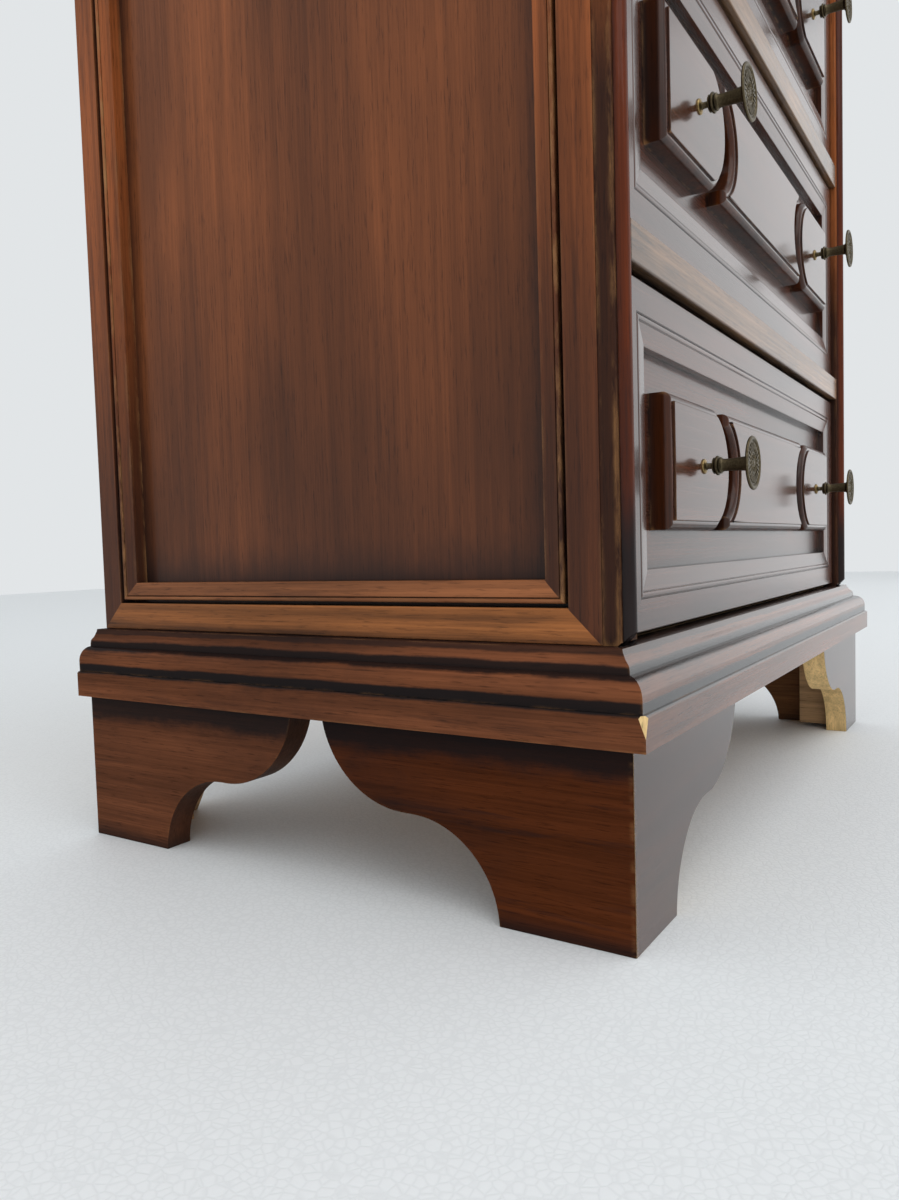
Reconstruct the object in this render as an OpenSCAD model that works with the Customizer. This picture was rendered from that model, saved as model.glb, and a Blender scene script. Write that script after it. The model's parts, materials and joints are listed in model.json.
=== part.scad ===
// Tall chest of drawers on a bracket-footed base.
// Millimetres, +Z up. X is centred, -Y is the front, and the floor is z = 0.
// Each sub-part is drawn from the front face of the feet (y = 0) and placed by in_frame().

/* [Carcass] */
// Width over the two side faces
carcass_w = 566; // [540:1:640]
// Depth from the front of the feet to the back
depth = 380; // [370:1:440]
// Number of drawers
drawer_count = 5; // [3:1:5]
// Thickness of a side, frame included
side_t = 21; // [20:0.5:28]
// Thickness of the flat board inside each side
side_board_t = 9.5; // [8:0.5:11]
// Width of the flat frame on the sides
frame_w = 17; // [14:1:30]
// Width of the bead that stands inside that frame
bead_w = 11.5; // [9:0.5:16]
// Open line between frame and bead
bead_gap = 2.2; // [1:0.1:4]
// Thickness of the back board
back_t = 6; // [4:0.5:9]

/* [Base and top] */
// Height of the feet
foot_h = 94.5; // [85:0.5:100]
// Thickness of the foot boards
foot_t = 18; // [15:1:22]
// Length of a foot board along the floor, on the front
foot_front_w = 54; // [45:1:70]
// Length of a foot board along the floor, on the side
foot_side_w = 70; // [55:1:75]
// How far the feet stand outside the carcass side
foot_out = 14; // [10:0.5:20]
// How far the fascia stands outside the feet
overhang = 9.4; // [6:0.2:14]
// Height of the square fascia
fascia_h = 16; // [12:1:24]
// Height of the rounded moulding above the fascia
moulding_h = 26.5; // [22:0.5:34]
// Width of the framed boards of base and top, seen from above
frame_board_w = 40; // [36:1:60]

/* [Corner posts] */
// Front face of a post, behind the feet
post_y = 10.8; // [8:0.2:14]
// Back of a post, where the side begins
post_back = 19.4; // [17:0.2:24]
// Radius of the bead on a post
post_bead_r = 4.7; // [3:0.1:6]
// Height of the sloped cut at each end of the bead
stop_h = 33; // [15:1:50]

/* [Drawers] */
// Height of a drawer front
drawer_h = 171.5; // [150:0.5:200]
// Thickness of the rails between drawers
rail_t = 19.5; // [16:0.5:24]
// Gap above and below a drawer front
gap = 3; // [2:0.5:5]
// Gap at each side of a drawer front
side_gap = 1.2; // [0.8:0.1:2]
// Front face of the framed drawer front
front_y = 15; // [12:0.5:16]
// Depth of the recess inside that frame
recess = 7.5; // [6:0.5:9]
// Thickness of the board behind the recess
front_t = 14; // [12:1:18]
// Width of the flat band round a drawer front
band_w = 17; // [12:0.5:22]
// Width of the sloped band inside it
slope_w = 13.3; // [10:0.1:18]
// Thickness of drawer sides and back
box_t = 12; // [10:0.5:15]
// Height of the drawer sides
box_h = 165; // [110:1:170]
// Back of the drawer box
box_back = 358; // [300:1:362]

/* [Raised blocks] */
// Width over all three blocks
blocks_w = 422; // [400:1:430]
// Height of a block
block_h = 71; // [66:1:74]
// Height of a block above the recess
block_t = 12.8; // [9:0.1:15]
// Width of the moulded edge of a block
block_edge = 4.7; // [3:0.1:6]
// Centre of the round end of an outer block
round_end_x = 141.5; // [135:0.5:150]
// Radius of that round end
round_end_r = 37.5; // [36:0.5:40]
// Centre of the hollow end of the middle block
hollow_end_x = 113; // [110:0.5:120]
// Radius of that hollow end
hollow_end_r = 28.8; // [26:0.2:31]

/* [Knobs] */
// Distance of each knob from the middle of the chest
knob_x = 158; // [140:1:175]
// Diameter of the knob's disc
knob_disc_d = 29.5; // [24:0.5:34]
// Distance from the block to the front of the disc
knob_reach = 27.8; // [22:0.2:36]

/* [Hidden] */
$fn = 64;
eps = 0.01;
hairline = 0.12; // open line at a mitre
foot_w = carcass_w + 2 * foot_out;
half_foot = foot_w / 2;
half_carcass = carcass_w / 2;
half_open = half_carcass - side_t;

base_z = foot_h + fascia_h;
floor_z = base_z + moulding_h;
pitch = drawer_h + 2 * gap + rail_t;
carcass_h = drawer_count * pitch;
carcass_top = floor_z + carcass_h;
top_z = carcass_top + moulding_h;

board_y = front_y + recess;
block_y = board_y - block_t;
knob_y = block_y - knob_reach;
frame_t = side_t - side_board_t;
back_y = depth - 0.5;

rail_back = 60;
runner_w = 22;
runner_end = back_y - back_t;
board_t = 18;
back_rebate = 5;
stop_gap = 0.5;
slide_gap = 2;
ride_gap = 0.5;
bottom_t = 5;
bottom_up = 8;
bottom_groove = 6;
stud_r = 1.9;
stud_hole_r = 2.2;
nut_hole_r = 2;
half_front = half_open - side_gap;
half_box = half_open - slide_gap;
knob_z = gap + drawer_h / 2;

DRAWER_PIECES = ["front", "frame_moulding", "raised_blocks", "sides", "back", "bottom", "knobs",
                 "knob_nuts"];

walnut = [0.42, 0.2, 0.11];
walnut_dark = [0.25, 0.12, 0.08];
walnut_light = [0.5, 0.27, 0.15];
inner_wood = [0.78, 0.62, 0.42];
plain_board = [0.6, 0.45, 0.3];
old_brass = [0.42, 0.37, 0.24];

// Height of the surface that drawer n rides on, counted from the bottom drawer
function ride_z(n) = floor_z + (n - 1) * pitch;

// Moves a sub-part from the feet's front face to the frame, whose origin is under the middle
module in_frame() translate([0, -(depth + knob_y) / 2, 0]) children();

// A section drawn as (inward, up), run along X for the front
module along_x(half_length) rotate([90, 0, 90]) linear_extrude(2 * half_length, center = true) children();

// A section drawn as (x, up), run along Y from one place to another
module along_y(from, to) translate([0, to, 0]) rotate([90, 0, 0]) linear_extrude(to - from) children();

module box(from, to) translate(from) cube(to - from);

module both_sides() {
    children();
    mirror([1, 0, 0]) children();
}

// ---- framed mouldings, mitred at the corners

// One strip of a flat frame: the section is (inward, height), the ends are cut at 45 degrees
module mitred_strip(length, reach, height)
    intersection() {
        along_x(length / 2) children();
        linear_extrude(height)
            polygon([[hairline - length / 2, 0], [length / 2 - hairline, 0],
                     [length / 2 - reach - hairline, reach], [reach + hairline - length / 2, reach]]);
    }

module mitred_frame(width, height, reach, thickness) {
    for (side = [0, 1]) rotate(180 * side) translate([0, -height / 2, 0])
        mitred_strip(width, reach, thickness) children();
    for (side = [0, 1]) rotate(90 + 180 * side) translate([0, -width / 2, 0])
        mitred_strip(height, reach, thickness) children();
}

// Plan of the front piece of a base or top frame, up to its mitres
module front_plan(reach)
    polygon([[hairline - half_foot - overhang, -overhang], [half_foot + overhang - hairline, -overhang],
             [half_foot - reach - hairline, reach], [reach + hairline - half_foot, reach]]);

// Plan of the left piece, which runs through to the back
module left_plan(reach)
    polygon([[-half_foot - overhang, -overhang], [reach - half_foot, reach],
             [reach - half_foot, depth], [-half_foot - overhang, depth]]);

module three_sided(reach, z, height) {
    intersection() {
        along_x(half_foot + overhang) children();
        translate([0, 0, z]) linear_extrude(height) front_plan(reach);
    }
    both_sides() intersection() {
        translate([-half_foot, 0, 0]) along_y(-overhang, depth) children();
        translate([0, 0, z]) linear_extrude(height) left_plan(reach);
    }
}

// ---- base and top

module fascia_section()
    polygon([[-overhang, foot_h], [-overhang, base_z - 1], [1 - overhang, base_z],
             [frame_board_w, base_z], [frame_board_w, foot_h]]);

// Rounded nose below, short slope above; drawn upwards from 0
module moulding_section() {
    nose_r = 9;
    nose_in = 1.5;
    nose_z = 6.6;
    slope_in = foot_out / 2;
    slope_z = nose_z + nose_r + 2;
    difference() {
        union() {
            translate([nose_in, nose_z]) circle(nose_r);
            translate([nose_in - nose_r, 0]) square([frame_board_w + nose_r - nose_in, nose_z]);
            polygon([[nose_in, nose_z], [nose_in, slope_z], [nose_in + 0.5, slope_z + 2],
                     [slope_in - 2, moulding_h - 4.2], [slope_in, moulding_h - 1], [slope_in, moulding_h],
                     [frame_board_w, moulding_h], [frame_board_w, nose_z]]);
        }
        translate([-nose_r, -nose_r]) square([frame_board_w, nose_r]);
    }
}

// Plain board that joins the side pieces at the back
module back_piece(from, to) {
    half_w = half_foot - frame_board_w - hairline;
    box([-half_w, depth - frame_board_w, from], [half_w, depth, to]);
}

module base_fascia() color(walnut) in_frame() {
    three_sided(frame_board_w, foot_h, fascia_h) fascia_section();
    back_piece(foot_h, base_z);
}

// The bottom board lies in a rebate of the base moulding
module board_seat(top_z) {
    inner = frame_board_w - board_t;
    box([inner - half_foot, inner, floor_z - board_t], [half_foot - inner, depth + top_z - floor_z, top_z]);
}

module bottom_board() color(inner_wood) in_frame() board_seat(floor_z);

module base_moulding() color(walnut) in_frame() difference() {
    union() {
        three_sided(frame_board_w, base_z, moulding_h) translate([0, base_z]) moulding_section();
        back_piece(base_z, floor_z);
    }
    board_seat(floor_z + 1);
}

module top_moulding() color(walnut) in_frame() {
    three_sided(frame_board_w, carcass_top, moulding_h)
        translate([0, top_z]) mirror([0, 1]) moulding_section();
    back_piece(carcass_top, top_z);
}

// One wide board, with its upper front and side edges eased by a chamfer
module top_board() color(walnut) in_frame() {
    half_w = half_foot + overhang;
    ease = 1.5;
    difference() {
        box([-half_w, -overhang, top_z], [half_w, depth, top_z + fascia_h]);
        translate([0, -overhang, top_z + fascia_h]) rotate([45, 0, 0])
            cube([2 * half_w + 1, ease, ease], center = true);
        both_sides() translate([half_w, depth / 2, top_z + fascia_h]) rotate([0, 45, 0])
            cube([ease, 2 * depth, ease], center = true);
    }
}

// Outline of a bracket foot: a hollow curve rises from the floor, then a round one meets the fascia
module foot_outline(floor_w) {
    hollow_r = 50;
    hollow_z = -1.5;
    flat_w = 5;
    round_r = 54.5;
    crest = hollow_z + hollow_r;
    square([floor_w, foot_h]);
    difference() {
        square([floor_w + hollow_r, foot_h]);
        translate([floor_w + hollow_r, hollow_z]) circle(hollow_r);
    }
    translate([floor_w + hollow_r - eps, crest]) square([flat_w + eps, foot_h - crest]);
    intersection() {
        translate([floor_w + hollow_r + flat_w, crest + round_r]) circle(round_r);
        translate([floor_w + hollow_r + flat_w - eps, 0]) square([round_r + eps, foot_h]);
    }
}

// Plan beyond which a front board or a side board is cut away, so that they meet in a mitre
module front_board_plan()
    polygon([[hairline, 0], [half_foot, 0], [half_foot, foot_t], [foot_t + hairline, foot_t]]);
module side_board_plan() polygon([[0, 0], [foot_t, foot_t], [foot_t, half_foot], [0, half_foot]]);

module front_feet() color(walnut) in_frame() both_sides() translate([-half_foot, 0, 0]) {
    intersection() {
        translate([0, foot_t, 0]) rotate([90, 0, 0]) linear_extrude(foot_t) foot_outline(foot_front_w);
        linear_extrude(foot_h) front_board_plan();
    }
    intersection() {
        rotate([90, 0, 90]) linear_extrude(foot_t) foot_outline(foot_side_w);
        linear_extrude(foot_h) side_board_plan();
    }
}

module back_feet() color(walnut) in_frame() both_sides() translate([-half_foot, depth, 0]) {
    brace_w = 110;
    mirror([0, 1, 0]) rotate([90, 0, 90]) linear_extrude(foot_t) foot_outline(foot_side_w);
    translate([foot_t, 0, 0]) rotate([90, 0, 0]) linear_extrude(foot_t)
        polygon([[0, 0], [foot_side_w - foot_t, 0], [brace_w, foot_h], [0, foot_h]]);
}

// Square blocks glued into the corner behind each foot
module corner_blocks() color(inner_wood) in_frame() {
    block_w = 26;
    clear = 4;
    both_sides() for (y = [foot_t, depth - foot_t - block_w])
        box([foot_t - half_foot, y, clear], [foot_t - half_foot + block_w, y + block_w, foot_h]);
}

// ---- sides, posts and back

// The left side board, rebated along its back edge for the back panel
module side_panel() difference() {
    box([-half_open - side_board_t, post_back, floor_z], [-half_open, back_y, carcass_top]);
    box([-half_open - back_rebate, runner_end, floor_z - 1], [1 - half_open, back_y + 1, carcass_top + 1]);
}

// Stands a flat frame upright on the left side board, facing outwards
module on_left_side()
    translate([-half_open - side_board_t, (post_back + back_y) / 2, floor_z + carcass_h / 2])
        rotate([90, 0, -90]) children();

module side_frame() on_left_side()
    mitred_frame(back_y - post_back, carcass_h, frame_w, frame_t) square([frame_w, frame_t]);

module side_bead() {
    inset = frame_w + bead_gap;
    rim_r = 1.2;
    slope_top = frame_t - 1.2;
    slope_end = frame_t - 3.4;
    on_left_side()
        mitred_frame(back_y - post_back - 2 * inset, carcass_h - 2 * inset, bead_w, frame_t) {
            translate([rim_r, frame_t - rim_r - 0.3]) circle(rim_r);
            square([2 * rim_r, frame_t - rim_r - 0.3]);
            polygon([[2 * rim_r - eps, 0], [2 * rim_r - eps, slope_top - 1], [2 * rim_r + 0.4, slope_top],
                     [bead_w - 1.6, slope_end + 0.5], [bead_w, slope_end], [bead_w, 0]]);
        }
}

module left_side_panel() color(walnut_light) in_frame() side_panel();
module right_side_panel() color(walnut_light) in_frame() mirror([1, 0, 0]) side_panel();
module left_side_frame() color(walnut) in_frame() side_frame();
module right_side_frame() color(walnut) in_frame() mirror([1, 0, 0]) side_frame();
module left_side_bead() color(walnut_dark) in_frame() side_bead();
module right_side_bead() color(walnut_dark) in_frame() mirror([1, 0, 0]) side_bead();

// A post with a round bead between two flats, cut back in a slope at both ends
module corner_post() {
    side_inset = 0.6;
    bead_x = 8.5;
    slope_y = 12.4;
    difference() {
        translate([-half_carcass, 0, floor_z]) linear_extrude(carcass_h) {
            translate([side_inset, post_y]) square([side_t - side_inset, post_back - post_y]);
            translate([bead_x, post_y]) circle(post_bead_r);
        }
        for (flip = [0, 1]) translate([-half_carcass, 0, floor_z + flip * carcass_h]) mirror([0, 0, flip])
            translate([side_t / 2, 0, 0]) along_x(side_t)
                polygon([[-1, -1], [slope_y, -1], [slope_y, 0],
                         [post_y - post_bead_r, stop_h], [-1, stop_h]]);
    }
}

module left_corner_post() color(walnut_dark) in_frame() corner_post();
module right_corner_post() color(walnut_dark) in_frame() mirror([1, 0, 0]) corner_post();

module back_panel() color(plain_board) in_frame()
    box([-half_open - back_rebate, runner_end, floor_z], [half_open + back_rebate, back_y, carcass_top]);

// ---- what the drawers run on

module front_rails() color(walnut_light) in_frame()
    for (n = [1 : drawer_count])
        box([-half_open, post_y - 0.3, ride_z(n + 1) - rail_t], [half_open, rail_back, ride_z(n + 1)]);

module runners() color(inner_wood) in_frame()
    for (n = [1 : drawer_count]) both_sides()
        box([-half_open, rail_back, ride_z(n + 1) - rail_t],
            [runner_w - half_open, runner_end, ride_z(n + 1)]);

// Small blocks behind the drawer fronts, which stop them flush with their places
module drawer_stops() color(inner_wood) in_frame() {
    stop = [40, 12, 5];
    stop_x = 130;
    for (n = [1 : drawer_count]) both_sides()
        translate([stop_x, board_y + front_t + stop_gap, ride_z(n)]) cube(stop);
}

// ---- drawers; each is drawn on the surface it rides on

module on_rail(n) in_frame() translate([0, 0, ride_z(n)]) children();

module knob_holes(radius) both_sides()
    translate([knob_x, 0, knob_z]) rotate([90, 0, 0]) cylinder(h = 4 * board_y, r = radius, center = true);

module drawer_front(n) color(walnut_light) on_rail(n) difference() {
    box([-half_front, board_y, gap], [half_front, board_y + front_t, gap + drawer_h]);
    knob_holes(stud_hole_r);
    box([-half_box + box_t - bottom_groove, board_y + front_t - bottom_groove, ride_gap + bottom_up],
        [half_box - box_t + bottom_groove, board_y + front_t + 1, ride_gap + bottom_up + bottom_t]);
}

// Section of the drawer's frame moulding: a flat band, a fine groove and bead, then a slope
module band_section() {
    slope_drop = 2;
    line_d = 0.9;
    polygon([[0, 0], [0, recess - 0.5], [0.5, recess], [band_w - 1.2, recess],
             [band_w - 0.6, recess - line_d], [band_w, recess], [band_w + 2.2, recess],
             [band_w + 2.7, recess - line_d], [band_w + slope_w, recess - slope_drop],
             [band_w + slope_w, 0]]);
}

module drawer_frame_moulding(n) color(walnut) on_rail(n)
    translate([0, board_y, knob_z]) rotate([90, 0, 0])
        mitred_frame(2 * half_front, drawer_h, band_w + slope_w, recess) band_section();

// Flat outlines of the blocks, drawn inwards by an inset
module outer_block_outline(inset) {
    length = blocks_w / 2 - round_end_x - inset;
    height = block_h - 2 * inset;
    translate([round_end_x, -height / 2]) square([length, height]);
    intersection() {
        translate([round_end_x, 0]) circle(round_end_r - inset);
        translate([round_end_x - round_end_r, -height / 2]) square([round_end_r + eps, height]);
    }
}

module middle_block_outline(inset) {
    tip_x = 105 - inset;
    height = block_h - 2 * inset;
    difference() {
        translate([-tip_x, -height / 2]) square([2 * tip_x, height]);
        for (side = [-1, 1]) translate([side * hollow_end_x, 0]) circle(hollow_end_r + inset);
    }
}

// The edge of a block steps in towards its face: [inset, from, to] for each layer
BLOCK_LAYERS = [[0, 0, block_t - 4.6], [0.2 * block_edge, block_t - 4.6, block_t - 3.2],
                [0.5 * block_edge, block_t - 3.2, block_t - 1.9],
                [0.8 * block_edge, block_t - 1.9, block_t - 1.2], [block_edge, block_t - 1.2, block_t]];

module block_layer(layer) translate([0, 0, layer[1]]) linear_extrude(layer[2] - layer[1]) children();

module drawer_raised_blocks(n) color(walnut) on_rail(n) difference() {
    translate([0, board_y, knob_z]) rotate([90, 0, 0]) for (layer = BLOCK_LAYERS) {
        both_sides() block_layer(layer) outer_block_outline(layer[0]);
        block_layer(layer) middle_block_outline(layer[0]);
    }
    knob_holes(stud_hole_r);
}

module drawer_sides(n) color(inner_wood) on_rail(n) both_sides() difference() {
    box([-half_box, board_y + front_t, ride_gap], [box_t - half_box, box_back, ride_gap + box_h]);
    box([box_t - half_box - bottom_groove, board_y, ride_gap + bottom_up],
        [box_t - half_box + 1, box_back + 1, ride_gap + bottom_up + bottom_t]);
}

module drawer_back(n) color(inner_wood) on_rail(n)
    box([box_t - half_box, box_back - box_t, ride_gap + bottom_up + bottom_t],
        [half_box - box_t, box_back, ride_gap + box_h - 8]);

module drawer_bottom(n) color(plain_board) on_rail(n)
    box([box_t - half_box - bottom_groove, board_y + front_t - bottom_groove, ride_gap + bottom_up],
        [half_box - box_t + bottom_groove, box_back, ride_gap + bottom_up + bottom_t]);

// A turned knob: rose, neck, double collar, stem and disc, with a threaded stud behind
module knob_solid() {
    disc_r = knob_disc_d / 2;
    stud_l = block_t + front_t + 6;
    rotate([90, 0, 0]) {
        rotate_extrude()
            polygon([[0, 0], [4.2, 0], [4.2, 0.8], [3.2, 1.5], [1.8, 2], [1.8, 5], [4.2, 5.4], [5.5, 6.4],
                     [5.5, 7.4], [4.4, 8], [5.2, 8.8], [5.2, 9.4], [3.7, 10.2], [3.5, 11],
                     [4.3, knob_reach - 4.2], [6, knob_reach - 3.4], [disc_r - 0.6, knob_reach - 2.4],
                     [disc_r, knob_reach - 1.8], [disc_r, knob_reach - 0.6], [disc_r - 0.8, knob_reach],
                     [disc_r - 2, knob_reach], [disc_r - 2.6, knob_reach - 0.8], [0, knob_reach - 0.6]]);
        translate([0, 0, -stud_l]) cylinder(h = stud_l + 1, r = stud_r);
    }
}

module drawer_knobs(n) color(old_brass) on_rail(n) both_sides()
    translate([knob_x, block_y, knob_z]) knob_solid();

module drawer_knob_nuts(n) color(old_brass) on_rail(n) both_sides()
    translate([knob_x, board_y + front_t, knob_z]) rotate([-90, 0, 0]) difference() {
        union() {
            cylinder(h = 1, r = 7);
            cylinder(h = 4, r = 4.4, $fn = 6);
        }
        translate([0, 0, -1]) cylinder(h = 6, r = nut_hole_r);
    }

bottom_board();
back_panel();
top_board();
top_moulding();
left_side_panel();
right_side_panel();
left_side_frame();
right_side_frame();
left_side_bead();
right_side_bead();
left_corner_post();
right_corner_post();
front_rails();
runners();
drawer_stops();
base_fascia();
base_moulding();
front_feet();
back_feet();
corner_blocks();

for (n = [1 : drawer_count]) {
    drawer_front(n);
    drawer_frame_moulding(n);
    drawer_raised_blocks(n);
    drawer_sides(n);
    drawer_back(n);
    drawer_bottom(n);
    drawer_knobs(n);
    drawer_knob_nuts(n);
}
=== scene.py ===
import json
import math

import bpy
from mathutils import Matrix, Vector

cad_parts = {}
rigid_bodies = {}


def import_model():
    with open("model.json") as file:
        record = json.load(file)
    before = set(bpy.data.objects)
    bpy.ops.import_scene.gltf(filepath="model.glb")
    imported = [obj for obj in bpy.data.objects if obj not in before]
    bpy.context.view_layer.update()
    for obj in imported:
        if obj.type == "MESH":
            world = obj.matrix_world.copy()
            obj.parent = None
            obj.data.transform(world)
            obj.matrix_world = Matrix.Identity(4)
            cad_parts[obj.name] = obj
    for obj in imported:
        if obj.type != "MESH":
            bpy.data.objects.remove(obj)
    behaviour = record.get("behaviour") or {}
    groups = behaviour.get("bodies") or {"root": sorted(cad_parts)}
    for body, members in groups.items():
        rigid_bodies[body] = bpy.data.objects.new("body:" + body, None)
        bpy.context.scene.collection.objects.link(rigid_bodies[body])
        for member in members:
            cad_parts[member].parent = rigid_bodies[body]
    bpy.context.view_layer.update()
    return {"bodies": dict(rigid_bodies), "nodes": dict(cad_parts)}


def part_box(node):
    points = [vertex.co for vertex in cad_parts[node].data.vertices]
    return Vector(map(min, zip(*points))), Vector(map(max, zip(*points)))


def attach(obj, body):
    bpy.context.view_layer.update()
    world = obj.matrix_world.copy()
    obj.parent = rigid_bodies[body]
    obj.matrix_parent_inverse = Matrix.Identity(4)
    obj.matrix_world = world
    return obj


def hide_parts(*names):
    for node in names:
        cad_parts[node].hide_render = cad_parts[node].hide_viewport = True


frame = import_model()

mm = 0.001
nodes = frame["nodes"]
drawerCount = sum(1 for body in frame["bodies"] if body.startswith("drawer_"))
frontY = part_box("front_feet")[0][1]  # front face of the feet, which every depth is counted from
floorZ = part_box("left_side_frame")[0][2]  # top of the base, which the carcass stands on
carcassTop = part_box("left_side_frame")[1][2]
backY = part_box("base_fascia")[1][1]
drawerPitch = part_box("drawer_2_front")[0][2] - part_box("drawer_1_front")[0][2]


cameraSet = {
    "place": (-0.6641, -0.3257, 0.1836),
    "right": (0.54235, -0.83964, -0.02939),
    "up": (0.06366, 0.00619, 0.99796),
    "lens": 26.9,
}


def addCamera(name):
    data = bpy.data.cameras.new(name)
    data.lens = cameraSet["lens"]
    data.clip_start = 0.02
    camera = bpy.data.objects.new(name, data)
    bpy.context.scene.collection.objects.link(camera)
    right, up = Vector(cameraSet["right"]), Vector(cameraSet["up"])
    turn = camera.matrix_world.copy()
    for row in range(3):
        turn[row][0], turn[row][1], turn[row][2] = right[row], up[row], right.cross(up)[row]
        turn[row][3] = cameraSet["place"][row]
    camera.matrix_world = turn
    bpy.context.scene.camera = camera


addCamera("chestCamera")
print("camera set")


facings = {
    "front": (math.pi / 2, 0, 0),
    "left": (math.pi / 2, 0, -math.pi / 2),
    "up": (0, 0, 0),
}


def clearSelection():
    if bpy.context.object and bpy.context.object.mode != "OBJECT":
        bpy.ops.object.mode_set(mode="OBJECT")
    bpy.ops.object.select_all(action="DESELECT")


def startPlane(name, center, width, height, facing):
    clearSelection()
    bpy.ops.mesh.primitive_plane_add(size=1, location=center, rotation=facings[facing])
    piece = bpy.context.object
    piece.name = name
    piece.scale = (width, height, 1)
    bpy.ops.object.transform_apply(location=True, rotation=True, scale=True)
    bpy.ops.object.mode_set(mode="EDIT")
    bpy.ops.mesh.select_mode(type="FACE")
    bpy.ops.mesh.select_all(action="SELECT")
    return piece


def push(direction, distance):
    bpy.ops.mesh.extrude_region_move(TRANSFORM_OT_translate={"value": Vector(direction) * distance})


def stepIn(steps):  # each step is (inwards, up), in millimetres
    for inward, up in steps:
        bpy.ops.mesh.inset(thickness=inward * mm, depth=up * mm, use_even_offset=True)


def readyToPick(kind):
    bpy.ops.object.mode_set(mode="EDIT")
    bpy.ops.mesh.select_mode(type=kind)
    bpy.ops.mesh.select_all(action="DESELECT")
    bpy.ops.object.mode_set(mode="OBJECT")
    return bpy.context.object.data


def pickFaces(test):
    for face in readyToPick("FACE").polygons:
        face.select = test(face.center, face.normal)
    bpy.ops.object.mode_set(mode="EDIT")


def pickEdges(test):
    mesh = readyToPick("EDGE")
    for edge in mesh.edges:
        edge.select = test(*[mesh.vertices[v].co for v in edge.vertices])
    bpy.ops.object.mode_set(mode="EDIT")


def openRing(center, through, back, reach, drop):
    # the back face is set in as far as the mouldings reach, the front is let down onto it, and both come out
    def inMiddle(c):
        return all(abs(c[axis] - center[axis]) < 0.0001 for axis in range(3) if axis != through)

    pickFaces(lambda c, n: inMiddle(c) and abs(c[through] - back) < 0.00001)
    stepIn([(reach, 0)])
    bpy.ops.mesh.delete(type="FACE")
    pickFaces(lambda c, n: inMiddle(c))
    push([drop * mm if axis == through else 0 for axis in range(3)], 1)
    bpy.ops.mesh.delete(type="FACE")
    tidyMesh()


def drawOutline(name, points, closed=True):  # walks one vertex along the points, then fills the loop
    clearSelection()
    bpy.ops.mesh.primitive_plane_add(size=0.001, location=points[0])
    piece = bpy.context.object
    piece.name = name
    bpy.ops.object.transform_apply(location=True)
    bpy.ops.object.mode_set(mode="EDIT")
    bpy.ops.mesh.select_mode(type="VERT")
    bpy.ops.mesh.select_all(action="SELECT")
    bpy.ops.mesh.merge(type="CENTER")
    for last, point in zip(points, points[1:] + (points[:1] if closed else [])):
        push(Vector(point) - Vector(last), 1)
    bpy.ops.mesh.select_all(action="SELECT")
    bpy.ops.mesh.remove_doubles(threshold=0.000001)
    if closed:
        bpy.ops.mesh.edge_face_add()
    return piece


def arc(center, radius, start, end, count):  # points on a circle, ends included, angles in degrees
    angles = [math.radians(start + (end - start) * i / count) for i in range(count + 1)]
    return [(center[0] + radius * math.cos(a), center[1] + radius * math.sin(a)) for a in angles]


def stepsAlong(points):  # from each point to the next
    return [(b[0] - a[0], b[1] - a[1]) for a, b in zip(points, points[1:])]


def cutOff(point, normal):  # takes away what lies on the normal's side
    bpy.ops.mesh.select_all(action="SELECT")
    bpy.ops.mesh.bisect(plane_co=point, plane_no=normal, use_fill=True, clear_outer=True)


def tidyMesh():
    bpy.ops.mesh.select_all(action="SELECT")
    bpy.ops.mesh.remove_doubles(threshold=0.00001)
    bpy.ops.mesh.normals_make_consistent(inside=False)
    bpy.ops.object.mode_set(mode="OBJECT")


def applyModifier(piece, name, kind, **values):
    modifier = piece.modifiers.new(name, kind)
    for key, value in values.items():
        setattr(modifier, key, value)
    clearSelection()
    piece.select_set(True)
    bpy.context.view_layer.objects.active = piece
    bpy.ops.object.modifier_apply(modifier=modifier.name)


def easeEdges(piece, width, segments=2, angle=35):
    applyModifier(piece, "ease", "BEVEL", width=width * mm, segments=segments, limit_method="ANGLE",
                  angle_limit=math.radians(angle))


def shade(piece, angle=30):
    clearSelection()
    piece.select_set(True)
    bpy.context.view_layer.objects.active = piece
    bpy.ops.object.shade_smooth_by_angle(angle=math.radians(angle))


def copyPiece(piece, name, move=(0, 0, 0), flip=None):
    clearSelection()
    piece.select_set(True)
    bpy.context.view_layer.objects.active = piece
    bpy.ops.object.duplicate(linked=False)
    made = bpy.context.object
    made.name = name
    made.location = move
    if flip == "x":
        made.scale.x = -1
    bpy.ops.object.transform_apply(location=True, rotation=True, scale=True)
    if flip:
        bpy.ops.object.mode_set(mode="EDIT")
        bpy.ops.mesh.select_all(action="SELECT")
        bpy.ops.mesh.normals_make_consistent(inside=False)
        bpy.ops.object.mode_set(mode="OBJECT")
    return made


def joinPieces(pieces, name):
    clearSelection()
    for piece in pieces:
        piece.select_set(True)
    bpy.context.view_layer.objects.active = pieces[0]
    bpy.ops.object.join()
    bpy.context.object.name = name
    return bpy.context.object


def giveMaterials(piece, materials):
    while len(piece.data.materials) < len(materials):
        piece.data.materials.append(None)
    for slot, material in enumerate(materials):
        piece.data.materials[slot] = material


def placePiece(piece, body, slot, *cadNodes):  # flat faces stay flat beside their eased edges
    applyModifier(piece, "flats", "WEIGHTED_NORMAL", keep_sharp=True, weight=80)
    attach(piece, body)
    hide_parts(*cadNodes)


def middleOf(low, high):
    return [(a + b) / 2 for a, b in zip(low, high)]


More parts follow.
